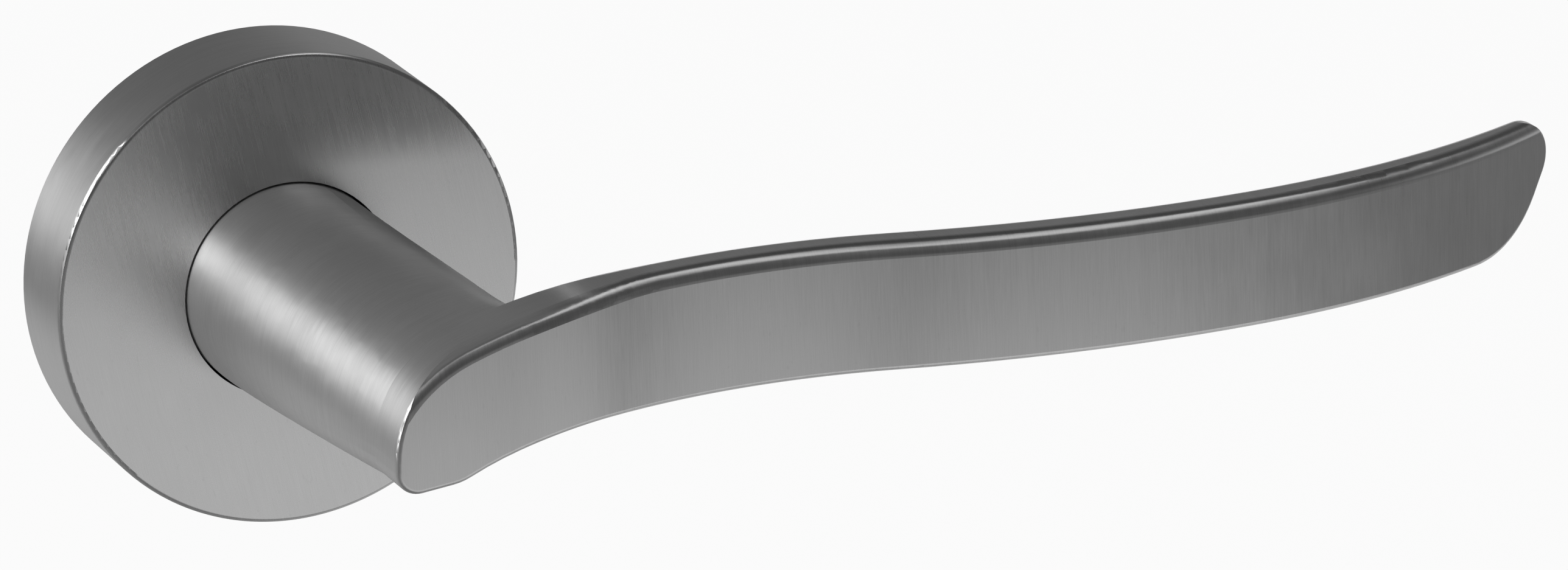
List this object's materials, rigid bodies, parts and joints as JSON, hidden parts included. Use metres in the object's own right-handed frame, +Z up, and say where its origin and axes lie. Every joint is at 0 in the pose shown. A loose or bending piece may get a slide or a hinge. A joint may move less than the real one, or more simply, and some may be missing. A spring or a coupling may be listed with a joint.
{
  "type": "door lever handle",
  "caption": "Door lever handle: a waved flat blade on a round neck turns in a round rose, sprung back by a torsion spring inside, and drives a square spindle.",
  "frame": {"origin": "where the spindle axis meets the door face", "axes": "+X along the lever towards its tip, +Y into the door, +Z up"},
  "size_m": [0.1519, 0.0955, 0.05],
  "materials": {
    "satin_lever": "satin brushed stainless steel, strokes across the blade",
    "satin_rose": "satin brushed stainless steel, straight near-vertical strokes on the face",
    "cast_zinc": "bare zinc casting",
    "plated_steel": "bright zinc plating",
    "spring_steel": "oiled spring steel",
    "black_steel": "blackened steel",
    "nylon": "natural nylon",
    "gasket_rubber": "matt sheet rubber"
  },
  "bodies": {
    "rose": {"rose_cover": "satin_rose", "base_plate": "cast_zinc", "backing_gasket": "gasket_rubber", "bearing_bush": "nylon", "neck_ring": "nylon", "cover_snap_ring": "spring_steel", "return_spring": "spring_steel", "stop_pins": "plated_steel", "spring_anchor": "plated_steel", "fixing_lugs": "plated_steel", "fixing_screws": "plated_steel", "lock_washers": "plated_steel"},
    "lever": {"lever_handle": "satin_lever", "drive_collar": "plated_steel", "thrust_washer": "plated_steel", "play_washer": "spring_steel", "retaining_ring": "spring_steel", "spindle": "plated_steel", "grub_screw": "black_steel"}
  },
  "joints": [
    {"name": "lever_turn", "type": "hinge", "parent": "rose", "child": "lever", "pos_m": [0, 0, 0], "axis": [0, 1, 0], "range_deg": [0, 45], "stiffness_Nm_per_rad": 1, "springref_deg": -29.79, "deforming": ["return_spring"]}
  ]
}
